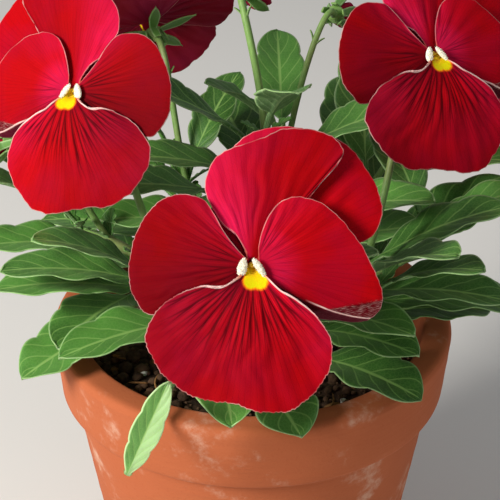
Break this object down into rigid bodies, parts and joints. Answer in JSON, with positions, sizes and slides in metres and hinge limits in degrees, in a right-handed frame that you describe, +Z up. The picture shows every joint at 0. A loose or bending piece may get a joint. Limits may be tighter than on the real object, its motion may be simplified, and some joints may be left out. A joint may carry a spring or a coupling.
{
  "type": "potted pansy",
  "caption": "Bushy pansy with large red flowers, nodding buds and scalloped leaves, growing in a plain terracotta pot of soil.",
  "frame": {"origin": "centre of the pot's base, on the plane that it stands on", "axes": "+Z up along the pot's axis, and -Y towards the side that the main flower faces"},
  "size_m": [0.1717, 0.1751, 0.2166],
  "materials": {
    "terracotta": "unglazed fired clay, matt, with faint turning marks",
    "soil": "moist dark crumbly potting mix",
    "foliage": "satin green leaf with paler veins",
    "petals": "velvety crimson petal with a yellow eye and a pale thin margin",
    "pistil": "smooth waxy yellow green"
  },
  "bodies": {
    "root": {"pot": "terracotta", "soil": "soil", "leafy_stem_1": "foliage", "leafy_stem_2": "foliage", "leafy_stem_3": "foliage", "leafy_stem_4": "foliage", "leafy_stem_5": "foliage", "leafy_stem_6": "foliage", "leafy_stem_7": "foliage", "leafy_stem_8": "foliage", "leafy_stem_9": "foliage", "flower_1_petals": "petals", "flower_2_petals": "petals", "flower_3_petals": "petals", "flower_4_petals": "petals", "flower_5_petals": "petals", "flower_1_pistil": "pistil", "flower_2_pistil": "pistil", "flower_3_pistil": "pistil", "flower_4_pistil": "pistil", "flower_5_pistil": "pistil", "bud_1_petals": "petals", "bud_2_petals": "petals", "bud_3_petals": "petals"}
  },
  "joints": []
}
